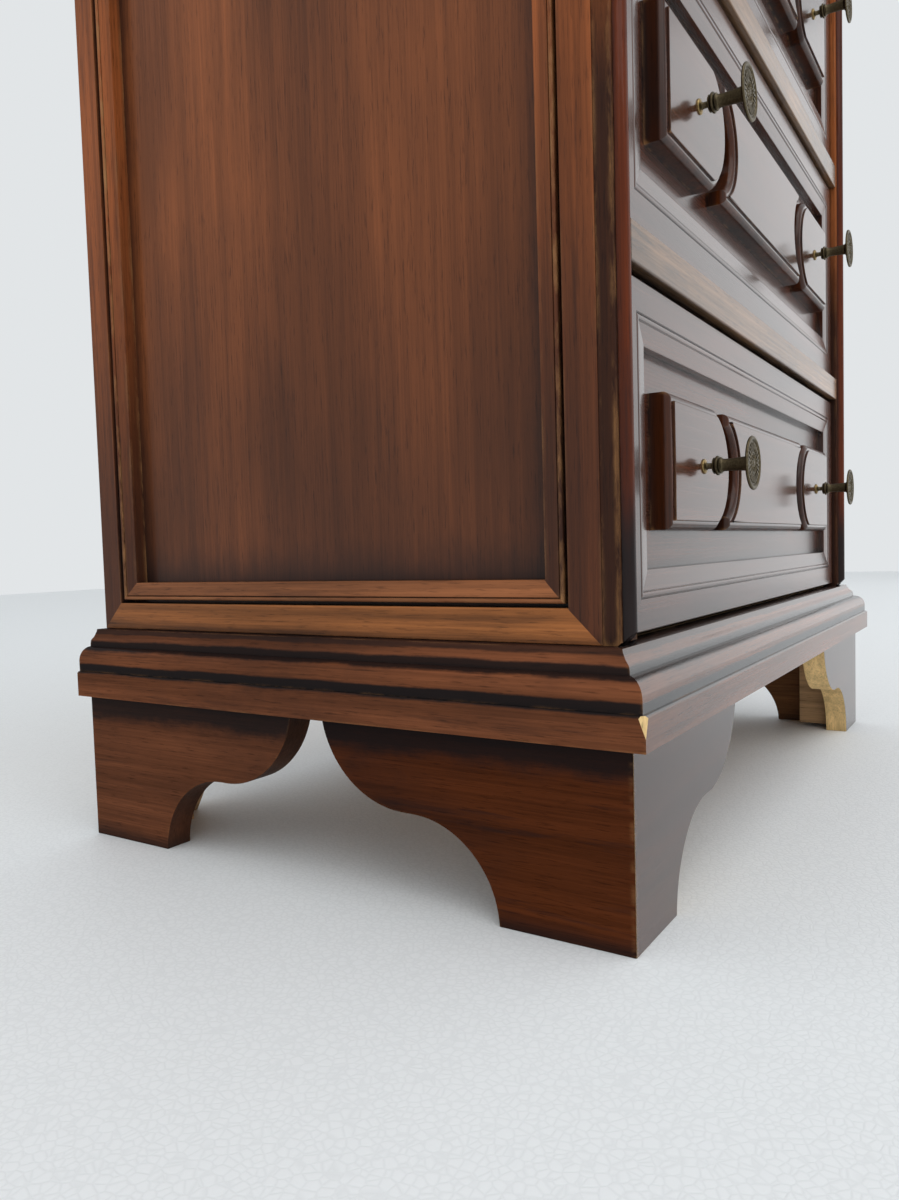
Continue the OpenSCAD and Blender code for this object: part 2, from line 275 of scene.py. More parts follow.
woodTones = {
    "panel": (0.215, 0.063, 0.019),
    # the stiles' tone is raised above the panel's: partly their own colour, partly painted sheen
    "stile": (0.340, 0.094, 0.026),
    "rail": (0.470, 0.165, 0.048),
    "bead": (0.270, 0.096, 0.036),
    "post": (0.110, 0.020, 0.004),
    "postFlat": (0.330, 0.098, 0.030),
    "base": (0.190, 0.064, 0.027),
    # the feet are toned darker than the wood above them: painted shade, for less light reaching low down
    "foot": (0.078, 0.020, 0.006),
    "backFoot": (0.118, 0.040, 0.017),
    "front": (0.085, 0.022, 0.008),
    "frontRail": (0.250, 0.130, 0.058),
    # the blocks' rims are toned darker than their faces: painted shade
    "blockEdge": (0.070, 0.016, 0.003),
    "darkEdge": (0.060, 0.020, 0.008),
    "innerFace": (0.190, 0.085, 0.033),
    # raw wood's pale colour, brightened further as painted light on edges that sit in shade
    "rawEdge": (0.800, 0.560, 0.260),
    "bareWood": (0.560, 0.350, 0.185),
    "plainBoard": (0.400, 0.235, 0.115),
}
# one near-black for real patina and dark grain strokes, and also for the painted shade in recesses and dark
# bands
patinaAndShadeBlack = (0.010, 0.0085, 0.009, 1)
wornTan = (0.330, 0.160, 0.062, 1)


def addNode(tree, kind, **values):
    node = tree.nodes.new(kind)
    for key, value in values.items():
        setattr(node, key, value)
    return node


def addNoise(tree, coords, along, across, lengthwise, detail, roughness=0.55, distortion=0.0):
    mapping = addNode(tree, "ShaderNodeMapping")
    scale = [across] * 3
    scale["XYZ".index(along)] = lengthwise
    mapping.inputs["Scale"].default_value = scale
    tree.links.new(coords, mapping.inputs["Vector"])
    noise = addNode(tree, "ShaderNodeTexNoise")
    noise.inputs["Scale"].default_value = 1
    noise.inputs["Detail"].default_value = detail
    noise.inputs["Roughness"].default_value = roughness
    noise.inputs["Distortion"].default_value = distortion
    tree.links.new(mapping.outputs["Vector"], noise.inputs["Vector"])
    return noise.outputs["Fac"]


def addRamp(tree, value, stops):
    ramp = addNode(tree, "ShaderNodeValToRGB")
    while len(ramp.color_ramp.elements) < len(stops):
        ramp.color_ramp.elements.new(0.5)
    for element, (place, colour) in zip(ramp.color_ramp.elements, stops):
        element.position = place
        element.color = (colour, colour, colour, 1) if isinstance(colour, (int, float)) else (*colour[:3], 1)
    tree.links.new(value, ramp.inputs["Fac"])
    return ramp.outputs["Color"]


def addMath(tree, kind, a, b):
    node = addNode(tree, "ShaderNodeMath", operation=kind)
    for socket, value in zip(node.inputs, (a, b)):
        if isinstance(value, (int, float)):
            socket.default_value = value
        else:
            tree.links.new(value, socket)
    return node.outputs[0]


def addMix(tree, kind, amount, a, b):
    node = addNode(tree, "ShaderNodeMix", data_type="RGBA", blend_type=kind)
    for socket, value in ((node.inputs[0], amount), (node.inputs[6], a), (node.inputs[7], b)):
        if isinstance(value, (int, float, tuple)):
            socket.default_value = value
        else:
            tree.links.new(value, socket)
    return node.outputs[2]


def addBand(tree, colour, level, low, high, soft, depth):  # darkens between two places along one axis
    rise = addNode(tree, "ShaderNodeMapRange", interpolation_type="SMOOTHSTEP")
    rise.inputs["From Min"].default_value, rise.inputs["From Max"].default_value = low - soft, low
    fall = addNode(tree, "ShaderNodeMapRange", interpolation_type="SMOOTHSTEP")
    fall.inputs["From Min"].default_value, fall.inputs["From Max"].default_value = high + soft, high
    tree.links.new(level, rise.inputs["Value"])
    tree.links.new(level, fall.inputs["Value"])
    inside = addMath(tree, "MULTIPLY", rise.outputs[0], fall.outputs[0])
    return addMix(tree, "MIX", addMath(tree, "MULTIPLY", inside, depth), colour, patinaAndShadeBlack)


def makeWood(name, tone, along, **look):
    # grainDepth, patina, worn and gloss are what a finisher would change; recessDark paints shade and some
    # grime into the hollows, and the dark bands darken set places, most of them as painted shade
    patina = look.get("patina", 0.3)
    recessDark = look.get("recessDark", 0.85)
    worn = look.get("worn", 0.6)
    bands = look.get("bands", [])
    contrast = look.get("contrast", 1.0)
    grainDepth = look.get("grainDepth", 0.25)
    rough = look.get("rough", 0.45)
    mid = woodTones[tone]
    deep = [value * (1 - 0.42 * contrast) for value in mid]
    pale = [value * (1 + 0.36 * contrast) for value in mid]
    material = bpy.data.materials.new(name)
    material.use_nodes = True
    tree = material.node_tree
    shader = tree.nodes["Principled BSDF"]
    coords = addNode(tree, "ShaderNodeTexCoord").outputs["Object"]

    figure = addNoise(tree, coords, along, 30, 1.6, 4, 0.55, 0.25)
    streaks = addNoise(tree, coords, along, 170, 4, 3, 0.6)
    fibres = addNoise(tree, coords, along, 700, 9, 4, 0.65)
    pores = addNoise(tree, coords, along, 1000, 70, 3, 0.6)
    blotches = addNoise(tree, coords, along, 9, 5, 4, 0.62)
    smudges = addNoise(tree, coords, along, 45, 22, 5, 0.7)
    clouds = addNoise(tree, coords, along, 8, 3, 2, 0.5, 0.5)
    strokes = addNoise(tree, coords, along, 95, 6, 5, 0.68, 0.2)

    colour = addRamp(tree, figure, [(0.30, deep), (0.5, mid), (0.72, pale)])
    for pattern, stops in (
            (streaks, [(0.3, 1 - 0.30 * contrast), (0.7, 1.12)]),
            (fibres, [(0.3, 1 - 0.28 * contrast), (0.7, 1.14)]),
            (pores, [(0.30, 0.60), (0.44, 1.02)]),
            (clouds, [(0.34, look.get("cloudy", 0.72)), (0.6, 1.1)])):
        colour = addMix(tree, "MULTIPLY", 1.0, colour, addRamp(tree, pattern, stops))
    darkStrokes = addRamp(tree, strokes, [(0.56, 0.0), (0.74, look.get("strokes", 0.5))])
    colour = addMix(tree, "MIX", darkStrokes, colour, patinaAndShadeBlack)
    if patina:
        stain = addRamp(tree, blotches, [(0.48, 0.0), (0.76, patina)])
        stain = addMix(tree, "MULTIPLY", 1.0, stain, addRamp(tree, smudges, [(0.35, 0.5), (0.65, 1.2)]))
        colour = addMix(tree, "MIX", stain, colour, patinaAndShadeBlack)
    # painted shade, partly grime: recesses found by ambient occlusion are mixed towards near-black
    if recessDark:
        hollow = addNode(tree, "ShaderNodeAmbientOcclusion", samples=6)
        hollow.inputs["Distance"].default_value = look.get("recess", 12) * mm
        hollowness = addRamp(tree, hollow.outputs["AO"], [(0.36, recessDark), (0.88, 0.0)])
        ragged = addRamp(tree, smudges, [(0.3, 0.6), (0.7, 1.25)])
        hollowness = addMix(tree, "MULTIPLY", 1.0, hollowness, ragged)
        colour = addMix(tree, "MIX", hollowness, colour, patinaAndShadeBlack)
    places = addNode(tree, "ShaderNodeSeparateXYZ")
    tree.links.new(coords, places.inputs[0])
    for axis, low, high, soft, depth, wander in bands:
        ragged = addMath(tree, "MULTIPLY", addMath(tree, "SUBTRACT", smudges, 0.5), wander)
        level = addMath(tree, "ADD", places.outputs[axis], ragged)
        colour = addBand(tree, colour, level, low, high, soft, depth)
    if worn:
        edge = addNode(tree, "ShaderNodeAmbientOcclusion", samples=6, inside=True, only_local=True)
        edge.inputs["Distance"].default_value = look.get("wornReach", 2.4) * mm
        sharp = addRamp(tree, edge.outputs["AO"], [(0.40, worn), (0.70, 0.0)])
        broken = addRamp(tree, addNoise(tree, coords, along, 120, 30, 4, 0.7), [(0.44, 0.0), (0.64, 1.0)])
        sharp = addMix(tree, "MULTIPLY", 1.0, sharp, broken)
        colour = addMix(tree, "MIX", sharp, colour, wornTan)
    tree.links.new(colour, shader.inputs["Base Color"])
    tree.links.new(addRamp(tree, fibres, [(0.3, rough + 0.1), (0.7, rough)]), shader.inputs["Roughness"])

    bump = addNode(tree, "ShaderNodeBump")
    bump.inputs["Strength"].default_value = grainDepth
    bump.inputs["Distance"].default_value = 0.0004
    tree.links.new(addMix(tree, "MULTIPLY", 1.0, fibres, addRamp(tree, pores, [(0.3, 0.4), (0.42, 1.0)])),
                   bump.inputs["Height"])
    tree.links.new(bump.outputs["Normal"], shader.inputs["Normal"])
    soft = addNode(tree, "ShaderNodeBump")
    soft.inputs["Strength"].default_value = look.get("ripple", 0.12)
    soft.inputs["Distance"].default_value = 0.0003
    tree.links.new(addNoise(tree, coords, along, 420, 60, 4, 0.6), soft.inputs["Height"])
    tree.links.new(soft.outputs["Normal"], shader.inputs["Coat Normal"])
    shader.inputs["Specular IOR Level"].default_value = look.get("sheen", 0.08)
    shader.inputs["Coat Weight"].default_value = look.get("gloss", 0.16)
    shader.inputs["Coat Roughness"].default_value = look.get("coatRough", 0.2)
    shader.inputs["Coat IOR"].default_value = look.get("coatIor", 1.5)
    return material


def makeBrass(name, tone, dark, roughness):
    material = bpy.data.materials.new(name)
    material.use_nodes = True
    tree = material.node_tree
    shader = tree.nodes["Principled BSDF"]
    coords = addNode(tree, "ShaderNodeTexCoord").outputs["Object"]
    mottle = addNoise(tree, coords, "Z", 900, 900, 4, 0.65)
    scratches = addNoise(tree, coords, "X", 3200, 500, 2)
    colour = addMix(tree, "MULTIPLY", 1.0, (*tone, 1), addRamp(tree, mottle, [(0.3, 0.55), (0.7, 1.15)]))
    hollow = addNode(tree, "ShaderNodeAmbientOcclusion", samples=6)
    hollow.inputs["Distance"].default_value = 1.5 * mm
    colour = addMix(tree, "MIX", addRamp(tree, hollow.outputs["AO"], [(0.35, dark), (0.9, 0.0)]),
                    colour, (0.018, 0.013, 0.007, 1))
    tree.links.new(colour, shader.inputs["Base Color"])
    polish = addRamp(tree, mottle, [(0.3, roughness + 0.18), (0.7, roughness)])
    tree.links.new(polish, shader.inputs["Roughness"])
    bump = addNode(tree, "ShaderNodeBump")
    bump.inputs["Strength"].default_value = 0.15
    bump.inputs["Distance"].default_value = 0.0001
    tree.links.new(scratches, bump.inputs["Height"])
    tree.links.new(bump.outputs["Normal"], shader.inputs["Normal"])
    shader.inputs["Metallic"].default_value = 1
    return material


# a dark band is (axis, from, to, how soft its ends are, how dark, how far its ends wander), in metres
under, beyond = -1, 9  # lower than any piece, and past any side of one
openFront, openBack = frontY + 0.0505, backY - 0.0310  # the side panel shows between these
# painted shade on the side panel: dark along its top, bottom, front and back edges inside the frame,
# darkening towards the bottom, and a soft shade over its front part
panelEdgeShade = [
    ("Y", -beyond, -0.02, 0.16, 0.22, 0.05),
    ("Z", under, floorZ + 0.032, 0.026, 0.5, 0.030),
    ("Z", under, floorZ + 0.03, 0.22, 0.42, 0.05),
    ("Z", carcassTop - 0.032, beyond, 0.026, 0.6, 0.030),
    ("Y", -beyond, openFront - 0.003, 0.016, 0.60, 0.020),
    ("Y", openBack - 0.001, beyond, 0.010, 0.4, 0.016),
]
# painted shade: dark lines in the creases between the base moulding's members
baseCreaseShade = [
    ("Z", 0.1105, 0.1150, 0.0014, 0.97, 0.003),
    ("Z", 0.1250, 0.1290, 0.0018, 0.92, 0.004),
    ("Z", 0.1345, 0.1400, 0.0012, 0.7, 0.003),
]
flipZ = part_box("top_moulding")[1][2] + 0.1105  # the top moulding is the base moulding upside down
# the same painted crease shade, turned over for the top moulding
topCreaseShade = [(axis, flipZ - high, flipZ - low, soft, depth, wander)
            for axis, low, high, soft, depth, wander in baseCreaseShade]
# painted shade on the feet: darker just under the fascia, and a painted contact shadow where they meet the
# floor
footShadeBands = [("Z", 0.084, 0.2, 0.010, 0.85, 0.016), ("Z", under, 0.002, 0.010, 0.5, 0.012)]
lowBands = [("Z", under, floorZ + 0.06, 0.30, 0.72, 0.06)]
postBands = [
    ("Z", under, floorZ + 0.24, 0.12, 0.88, 0.05),
    ("Z", carcassTop - 0.06, beyond, 0.05, 0.8, 0.03),
]
# painted shade on the corner posts' sloped ends, at the bottom and the top
postEndShade = [
    ("Z", under, floorZ + 0.040, 0.05, 0.92, 0.02),
    ("Z", carcassTop - 0.040, beyond, 0.05, 0.92, 0.02),
]
panelWood = makeWood("panelWood", "panel", "Z", grainDepth=0.10, patina=0.30, recess=12, recessDark=0.45,
                     worn=0, gloss=0.24, contrast=0.62, bands=panelEdgeShade, cloudy=0.6, strokes=0.25)
stileWood = makeWood("stileWood", "stile", "Z", patina=0.5, recess=7, bands=lowBands, strokes=0.6, worn=0.8)
sideRailWood = makeWood("sideRailWood", "rail", "Y", patina=0.35, recess=7)
beadStileWood = makeWood("beadStileWood", "stile", "Z", patina=0.5, recess=4, recessDark=0.6, strokes=0.6,
                         worn=1.0, wornReach=6, bands=lowBands)
beadRailWood = makeWood("beadRailWood", "bead", "Y", patina=0.35, recess=5)
postWood = makeWood("postWood", "post", "Z", grainDepth=0.1, patina=0.25, recess=4, recessDark=0.9,
                    gloss=0.34, sheen=0, ripple=0.6, coatRough=0.1, cloudy=0.9, worn=0, bands=postEndShade)
postFlatWood = makeWood("postFlatWood", "postFlat", "Z", grainDepth=0.5, patina=0.5, recess=3, recessDark=0.6,
                        wornReach=4, gloss=0.12, coatRough=0.2, worn=0.9, sheen=0, strokes=0.8,
                        bands=postBands)

frontLook = {
    "patina": 0.35, "recess": 7, "recessDark": 1.0, "gloss": 1.0, "coatRough": 0.16, "grainDepth": 0.2,
    "ripple": 0.07,
}
blockLook = {**frontLook, "recess": 5, "gloss": 1.0, "coatIor": 1.56}
# a darker copy of the front look for the blocks' rims: painted shade
shadedBlockEdgeLook = {
    **frontLook, "gloss": 0.45, "contrast": 1.5, "strokes": 0.9, "patina": 0.9,
    "recess": 7, "worn": 1.0, "wornReach": 3,
}
frontRailLook = {
    **frontLook, "grainDepth": 0.9, "patina": 0.9, "strokes": 0.9, "ripple": 0.25, "gloss": 0.85,
}
frontWood = makeWood("frontWood", "front", "X", **frontLook, coatIor=1.66)
frontStileWood = makeWood("frontStileWood", "front", "Z", **frontLook, coatIor=1.66)
fieldWood = makeWood("fieldWood", "front", "X", **{**frontLook, "gloss": 0.95})
blockWood = makeWood("blockWood", "front", "X", **blockLook)
blockEdgeWood = makeWood("blockEdgeWood", "blockEdge", "Z", **shadedBlockEdgeLook)
railWood = makeWood("railWood", "frontRail", "X", **frontRailLook)

mouldFrontLook = {"gloss": 1.0, "coatIor": 1.62, "patina": 0.4, "recess": 8}
mouldSideLook = {"gloss": 0.1, "sheen": 0, "patina": 0.6, "recess": 8, "strokes": 0.85}
baseFrontWood = makeWood("baseFrontWood", "base", "X", bands=baseCreaseShade, **mouldFrontLook)
baseSideWood = makeWood("baseSideWood", "base", "Y", bands=baseCreaseShade, **mouldSideLook)
topFrontWood = makeWood("topFrontWood", "base", "X", bands=topCreaseShade, **mouldFrontLook)
topSideWood = makeWood("topSideWood", "base", "Y", bands=topCreaseShade, **mouldSideLook)
topWood = makeWood("topWood", "panel", "X", grainDepth=0.12, patina=0.2, recess=9, contrast=0.7, gloss=0.5)
footFrontWood = makeWood("footFrontWood", "foot", "X", gloss=1.0, coatIor=1.7, patina=0.3, worn=0.3, recess=6,
                         recessDark=0.5)
footSideWood = makeWood("footSideWood", "foot", "Y", gloss=0.06, sheen=0, worn=0.3, patina=0.5, recess=10,
                        bands=footShadeBands, strokes=0.8)
backFootWood = makeWood("backFootWood", "backFoot", "Y", gloss=0.1, sheen=0, patina=0.5, recess=10,
                        bands=footShadeBands, strokes=0.8)
darkEdgeWood = makeWood("darkEdgeWood", "darkEdge", "Z", patina=0.6, recess=10)
innerFaceWood = makeWood("innerFaceWood", "innerFace", "Y", patina=0.6, recess=14, worn=0, gloss=0.05)

bareLook = {
    "strokes": 0.06, "cloudy": 0.88, "contrast": 0.7, "patina": 0, "recessDark": 0.35, "worn": 0,
    "gloss": 0.02, "rough": 0.6,
}
# raw edge wood, its pale tone brightened as painted light
rawEdgeWood = makeWood("rawEdgeWood", "rawEdge", "Z", **bareLook)
bareWood = makeWood("bareWood", "bareWood", "Y", **bareLook)
bareCrossWood = makeWood("bareCrossWood", "bareWood", "X", **bareLook)
boardWood = makeWood("boardWood", "plainBoard", "X", **bareLook)
backWood = makeWood("backWood", "plainBoard", "Z", **bareLook)
jointLine = makeWood("jointLine", "post", "Z", patina=1.0, recess=4, recessDark=1.0, worn=0, gloss=0)
oldBrass = makeBrass("oldBrass", (0.125, 0.098, 0.056), 0.95, 0.36)
# the brighter brass is a lit copy of the old brass: a painted gold highlight on the base collars, also used
# for the hidden stud
brightBrass = makeBrass("brightBrass", (0.360, 0.250, 0.105), 0.8, 0.28)
zincSteel = makeBrass("zincSteel", (0.480, 0.480, 0.470), 0.6, 0.3)
print("materials made")


def finishFrame(piece, center, width, height, across, line=0.16):
    # the short strips keep slot 0, the upright ones take slot 1, and a fine joint line runs along each mitre
    def offsets(point):
        return abs(point[across] - center[across]) - width / 2, abs(point[2] - center[2]) - height / 2

    def onMitre(a, b):
        return all(abs(offsets(p)[0] - offsets(p)[1]) < 0.00004 for p in (a, b)) and \
            abs(a[across] - b[across]) > 0.00005

    for face in piece.data.polygons:
        out, up = offsets(face.center)
        face.material_index = 1 if out > up else 0
    bpy.context.view_layer.objects.active = piece
    pickEdges(onMitre)
    bpy.ops.mesh.bevel(offset=line * mm, segments=1, affect="EDGES", material=2)
    bpy.ops.object.mode_set(mode="OBJECT")


def makeFrame(name, cadNode, facing, sections, materials):
    low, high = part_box(cadNode)
    center = middleOf(low, high)
    across, through = (0, 1) if facing == "front" else (1, 0)
    width, height = high[across] - low[across], high[2] - low[2]
    start = list(center)
    start[through] = high[through]
    piece = startPlane(name, start, width, height, facing)
    push([-sections["wall"] * mm if axis == through else 0 for axis in range(3)], 1)
    stepIn(sections["steps"])
    reach, rise = [sum(step[way] for step in sections["steps"]) for way in (0, 1)]
    openRing(center, through, high[through], reach, sections["wall"] + rise)
    finishFrame(piece, center, width, height, across)
    giveMaterials(piece, materials)
    shade(piece, 35)
    return piece


sideFrameSet = {"wall": 11.0, "steps": [(0.12, 0.35), (0.4, 0.13), (16.0, 0), (0.36, -0.12), (0.12, -0.26)]}
beadR = 1.15  # the fine bead beside the panel's groove
beadTurns = [math.radians(15 * i) for i in range(1, 12)]
beadArc = [(1.2 - beadR * math.cos(a), beadR * math.sin(a)) for a in beadTurns]
sideBeadSet = {
    "wall": 9.8,
    "steps": stepsAlong([(0, 0)] + beadArc)
    + [(0.12, -0.9), (0.5, 0.8), (0.3, 0.1), (7.2, -1.5), (0.5, -0.15), (0.2, -0.4)],
}

leftFrame = makeFrame("leftSideFrame", "left_side_frame", "left", sideFrameSet,
                      [sideRailWood, stileWood, jointLine])
leftBead = makeFrame("leftSideBead", "left_side_bead", "left", sideBeadSet,
                     [beadRailWood, beadStileWood, jointLine])
placePiece(copyPiece(leftFrame, "rightSideFrame", flip="x"), "carcass", "walnut", "right_side_frame")
placePiece(copyPiece(leftBead, "rightSideBead", flip="x"), "carcass", "walnut", "right_side_bead")
placePiece(leftFrame, "carcass", "walnut", "left_side_frame")
placePiece(leftBead, "carcass", "walnut", "left_side_bead")
print("side frames made")


postSet = {"inset": 0.6, "width": 21, "front": 10.8, "back": 19.4, "beadAt": 8.5, "beadRadius": 4.7,
           "slopeDepth": 12.4, "slopeHeight": 33}


def makePost(name):
    s = postSet
    bead = arc((s["beadAt"], s["front"]), s["beadRadius"], 180, 360, 20)
    plan = [(s["inset"], s["back"]), (s["inset"], s["front"] + 0.8), (s["inset"] + 0.25, s["front"] + 0.25),
            (s["inset"] + 0.8, s["front"]), (3.0, s["front"]), (3.5, s["front"] + 1.3)] + bead \
        + [(13.6, s["front"] + 1.3), (14.1, s["front"]), (20.4, s["front"]), (s["width"], s["front"] + 0.6),
           (s["width"], s["back"])]
    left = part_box("left_side_frame")[0][0]
    points = [(left + x * mm, frontY + y * mm, floorZ) for x, y in plan]
    piece = drawOutline(name, points)
    push((0, 0, 1), carcassTop - floorZ)
    lean = Vector((0, -s["slopeHeight"], -(s["slopeDepth"] - s["front"] + s["beadRadius"])))
    cutOff((left, frontY + s["slopeDepth"] * mm, floorZ), lean)
    cutOff((left, frontY + s["slopeDepth"] * mm, carcassTop), Vector((0, lean.y, -lean.z)))
    tidyMesh()
    easeEdges(piece, 0.3, 2, 50)
    beadX, beadY = left + s["beadAt"] * mm, frontY + s["front"] * mm
    for face in piece.data.polygons:
        away = math.hypot(face.center.x - beadX, face.center.y - beadY)
        onBead = away < (s["beadRadius"] + 0.3) * mm and face.center.y < beadY
        face.material_index = 0 if onBead else 1
    giveMaterials(piece, [postWood, postFlatWood])
    shade(piece, 35)
    return piece


leftPost = makePost("leftCornerPost")
placePiece(copyPiece(leftPost, "rightCornerPost", flip="x"), "carcass", "walnut", "right_corner_post")
placePiece(leftPost, "carcass", "walnut", "left_corner_post")
print("posts made")


def makeRails(name):
    low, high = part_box("front_rails")
    thick = high[2] - (low[2] + drawerPitch * (drawerCount - 1))
    rails = []
    for level in range(drawerCount):
        clearSelection()
        bottom = low[2] + drawerPitch * level
        bpy.ops.mesh.primitive_cube_add(size=1, location=(0, (low[1] + high[1]) / 2, bottom + thick / 2))
        rail = bpy.context.object
        rail.scale = (high[0] - low[0], high[1] - low[1], thick)
        bpy.ops.object.transform_apply(location=True, rotation=True, scale=True)
        rails.append(rail)
    piece = joinPieces(rails, name)
    easeEdges(piece, 0.9, 3)
    giveMaterials(piece, [railWood])
    shade(piece)
    return piece


placePiece(makeRails("frontRails"), "carcass", "walnut", "front_rails")
print("rails made")


fasciaSet = {"out": 9.4, "side": 15.0, "ease": 1.0, "board": 40, "backStrip": 40}
noseR = 8.95  # the rounded nose
noseTurns = [math.radians(9 * i) for i in range(11)]
noseArc = [(1.5 - noseR * math.cos(a), noseR * math.sin(a)) for a in noseTurns]
mouldingSet = {
    "out": 7.45, "side": 6.6, "board": 40, "backStrip": 40, "seat": 22, "seatDepth": 18,
    "steps": stepsAlong(noseArc)
    + [(0.15, 1.9), (0.35, 1.9), (0.9, 1.0), (1.2, 0.9), (0.9, 1.0), (0.8, 1.4), (0.9, 1.3), (0.3, 1.0),
       (0.02, 0.5)],
}


def layFrame(name, height, part, steps, seat=False):
    # a wide block has its mouldings cut all round and its middle taken out, then its back is sawn off
    left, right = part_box("front_feet")[0][0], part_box("front_feet")[1][0]
    longer = 0.12  # the block runs this far past the back
    front = frontY - part["out"] * mm
    center = ((left + right) / 2, (front + backY + longer) / 2, height)
    piece = startPlane(name, center, right - left + 2 * part["out"] * mm, backY + longer - front, "up")
    push((0, 0, 1), part["side"] * mm)
    stepIn(steps)
    reach, rise = [sum(step[way] for step in steps) for way in (0, 1)]
    if seat:  # the bottom board lies in it
        stepIn([(part["out"] + part["seat"] - reach, 0)])
        push((0, 0, -1), part["seatDepth"] * mm)
        reach, rise = part["out"] + part["seat"], rise - part["seatDepth"]
    stepIn([(part["out"] + part["board"] - reach, 0)])
    openRing(center, 2, height, part["out"] + part["board"], -part["side"] - rise)
    bpy.ops.object.mode_set(mode="EDIT")
    cutOff((0, backY, height), (0, 1, 0))
    tidyMesh()
    return piece


def addBackStrip(piece, part, low, high):  # plain board between the two side pieces
    clearSelection()
    half = abs(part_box("front_feet")[0][0]) - part["board"] * mm
    deep = part["backStrip"] * mm
    bpy.ops.mesh.primitive_cube_add(size=1, location=(0, backY - deep / 2, (low + high) / 2))
    strip = bpy.context.object
    strip.scale = (2 * half, deep, high - low)
    bpy.ops.object.transform_apply(location=True, rotation=True, scale=True)
    easeEdges(strip, 0.5, 1)
    return joinPieces([piece, strip], piece.name)


def finishLaid(piece, part, low, high, materials, cadNode):
    # the side pieces' grain runs front to back, and the chip in the fascia's near corner shows raw wood
    piece = addBackStrip(piece, part, low, high)
    corner = Vector(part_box(cadNode)[0])
    for face in piece.data.polygons:
        sideways = abs(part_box("front_feet")[0][0]) - abs(face.center.x)
        face.material_index = 1 if sideways < min(face.center.y - frontY, 0.1) else 0
        if part is fasciaSet and (face.center - corner).length < 0.020 and -0.9 < face.normal.x < -0.4:
            face.material_index = 2
    giveMaterials(piece, materials)
    shade(piece, 30)
    placePiece(piece, "carcass", "walnut", cadNode)


def makeFascia():
    low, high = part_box("base_fascia")
    piece = layFrame("baseFascia", low[2], fasciaSet, [(fasciaSet["ease"], fasciaSet["ease"])])
    bpy.ops.object.mode_set(mode="EDIT")
    chip = Vector((low[0], low[1], high[2])) + Vector((0.0019, 0.0012, -0.0012))
    cutOff(chip, (-1, -1.15, 0.36))  # the chipped corner
    tidyMesh()
    finishLaid(piece, fasciaSet, low[2], high[2], [baseFrontWood, baseSideWood, rawEdgeWood], "base_fascia")


def makeBaseMoulding():
    low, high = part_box("base_moulding")
    piece = layFrame("baseMoulding", low[2], mouldingSet, mouldingSet["steps"], seat=True)
    finishLaid(piece, mouldingSet, low[2], high[2] - mouldingSet["seatDepth"] * mm,
               [baseFrontWood, baseSideWood], "base_moulding")


def makeTopMoulding():
    low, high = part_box("top_moulding")
    piece = layFrame("topMoulding", low[2], mouldingSet, mouldingSet["steps"])
    piece.scale.z = -1
    piece.location.z = low[2] + high[2]
    bpy.ops.object.transform_apply(location=True, rotation=True, scale=True)
    bpy.ops.object.mode_set(mode="EDIT")
    tidyMesh()
    finishLaid(piece, mouldingSet, low[2], high[2], [topFrontWood, topSideWood], "top_moulding")


makeFascia()
makeBaseMoulding()
makeTopMoulding()
print("mouldings made")


footSet = {
    "front": 54, "side": 70, "thick": 18, "ease": 0.5,
    "hollow": 50, "hollowZ": -1.5, "flat": 5, "round": 54.5,
    "braceFoot": 52, "braceTop": 110,
}


def footOutline(floorLength, height):
    s = footSet
    x = floorLength + s["hollow"]
    crest = s["hollowZ"] + s["hollow"]
    topAngle = math.degrees(math.asin((height - crest - s["round"]) / s["round"]))
    hollow = arc((x, s["hollowZ"]), s["hollow"], 178.3, 90, 22)
    rounded = arc((x + s["flat"], crest + s["round"]), s["round"], -90, topAngle, 22)
    return [(0, height), (0, 0)] + [(floorLength, 0)] + hollow[1:] + rounded


def makeFootBoard(name, floorLength, along, thick):
    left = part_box("front_feet")[0][0]
    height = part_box("front_feet")[1][2]
    outline = footOutline(floorLength, height / mm)
    if along == "X":
        points = [(left + u * mm, frontY, z * mm) for u, z in outline]
    else:
        points = [(left, frontY + u * mm, z * mm) for u, z in outline]
    piece = drawOutline(name, points)
    push((0, 1, 0) if along == "X" else (1, 0, 0), thick * mm)
    return piece


def colourFoot(piece, along, faceWood, edgeWood):  # a board's inside was only roughly stained
    axis = 1 if along == "X" else 0
    for face in piece.data.polygons:
        face.material_index = (0 if face.normal[axis] < 0 else 2) if abs(face.normal[axis]) > 0.8 else 1
    giveMaterials(piece, [faceWood, edgeWood, innerFaceWood])
    shade(piece, 30)


def makeFrontFeet(name):
    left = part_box("front_feet")[0][0]
    s = footSet
    boards = []
    for along, length, wood, edge, saw in (("X", s["front"], footFrontWood, rawEdgeWood, (-1, 1, 0)),
                                           ("Y", s["side"], footSideWood, darkEdgeWood, (1, -1, 0))):
        board = makeFootBoard(name + along, length, along, s["thick"])
        cutOff((left, frontY, 0), saw)
        tidyMesh()
        easeEdges(board, s["ease"], 2, 60)
        colourFoot(board, along, wood, edge)
        boards.append(board)
    boards += [copyPiece(board, board.name + "Right", flip="x") for board in boards]
    piece = joinPieces(boards, name)
    placePiece(piece, "carcass", "walnut", "front_feet")


